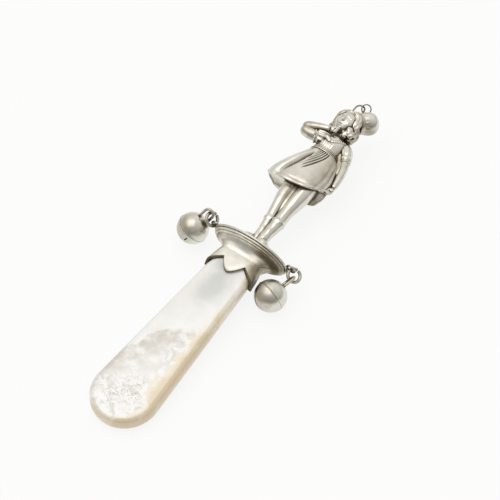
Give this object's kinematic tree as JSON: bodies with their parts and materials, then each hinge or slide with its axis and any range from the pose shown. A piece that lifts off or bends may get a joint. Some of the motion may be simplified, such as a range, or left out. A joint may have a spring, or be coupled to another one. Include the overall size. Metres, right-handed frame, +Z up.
{
  "type": "baby rattle",
  "caption": "Silver baby rattle with a hollow standing figure, round bells on loose rings and a flat mother-of-pearl handle that is also the teether.",
  "frame": {"origin": "on the table under the middle of the rattle's box, as it lies on its back", "axes": "+Y along the rattle from the handle to the head, +X to the right, +Z up, the way that the figure faces"},
  "size_m": [0.0388, 0.1196, 0.0149],
  "materials": {
    "silver": "worn polished silver with dark patina in the hollows",
    "mother_of_pearl": "polished nacre",
    "cement": "dull"
  },
  "bodies": {
    "rattle": {"pearl_handle": "mother_of_pearl", "socket_collar": "silver", "socket_cement": "cement", "stage_plate": "silver", "figure_front": "silver", "figure_back": "silver", "left_lug": "silver", "right_lug": "silver", "hat_loop": "silver"},
    "left_ring": {"left_ring": "silver"},
    "right_ring": {"right_ring": "silver"},
    "left_bell": {"left_bell_eye": "silver", "left_bell_top": "silver", "left_bell_bottom": "silver"},
    "right_bell": {"right_bell_eye": "silver", "right_bell_top": "silver", "right_bell_bottom": "silver"},
    "left_pellet": {"left_pellet": "silver"},
    "right_pellet": {"right_pellet": "silver"},
    "hang_ring": {"hang_ring": "silver"}
  },
  "joints": [
    {"name": "left_ring_swing", "type": "hinge", "parent": "rattle", "child": "left_ring", "pos_m": [-0.00975, 0.00358, 0.0068], "axis": [0, 0.9974, 0.0726], "range_deg": [-50, 55]},
    {"name": "right_ring_swing", "type": "hinge", "parent": "rattle", "child": "right_ring", "pos_m": [0.01529, 0.00358, 0.0068], "axis": [0, 0.9974, 0.0726], "range_deg": [-110, 0]},
    {"name": "left_bell_swing", "type": "hinge", "parent": "left_ring", "child": "left_bell", "pos_m": [-0.01205, 0.00376, 0.00957], "axis": [0.0672, 0.9977, -0.0077], "range_deg": [0, 100]},
    {"name": "right_bell_swing", "type": "hinge", "parent": "right_ring", "child": "right_bell", "pos_m": [0.01663, 0.0011, 0.00568], "axis": [-0.8192, -0.0416, 0.5721], "range_deg": [0, 90]},
    {"name": "left_pellet_rattle", "type": "slide", "parent": "left_bell", "child": "left_pellet", "axis": [0, 0, 1], "range_m": [0, 0.005]},
    {"name": "right_pellet_rattle", "type": "slide", "parent": "right_bell", "child": "right_pellet", "axis": [0, 0, 1], "range_m": [0, 0.005]},
    {"name": "hang_ring_swing", "type": "hinge", "parent": "rattle", "child": "hang_ring", "pos_m": [0.00124, 0.05831, 0.01087], "axis": [-0.5736, 0.817, 0.0595], "range_deg": [-60, 70]}
  ]
}
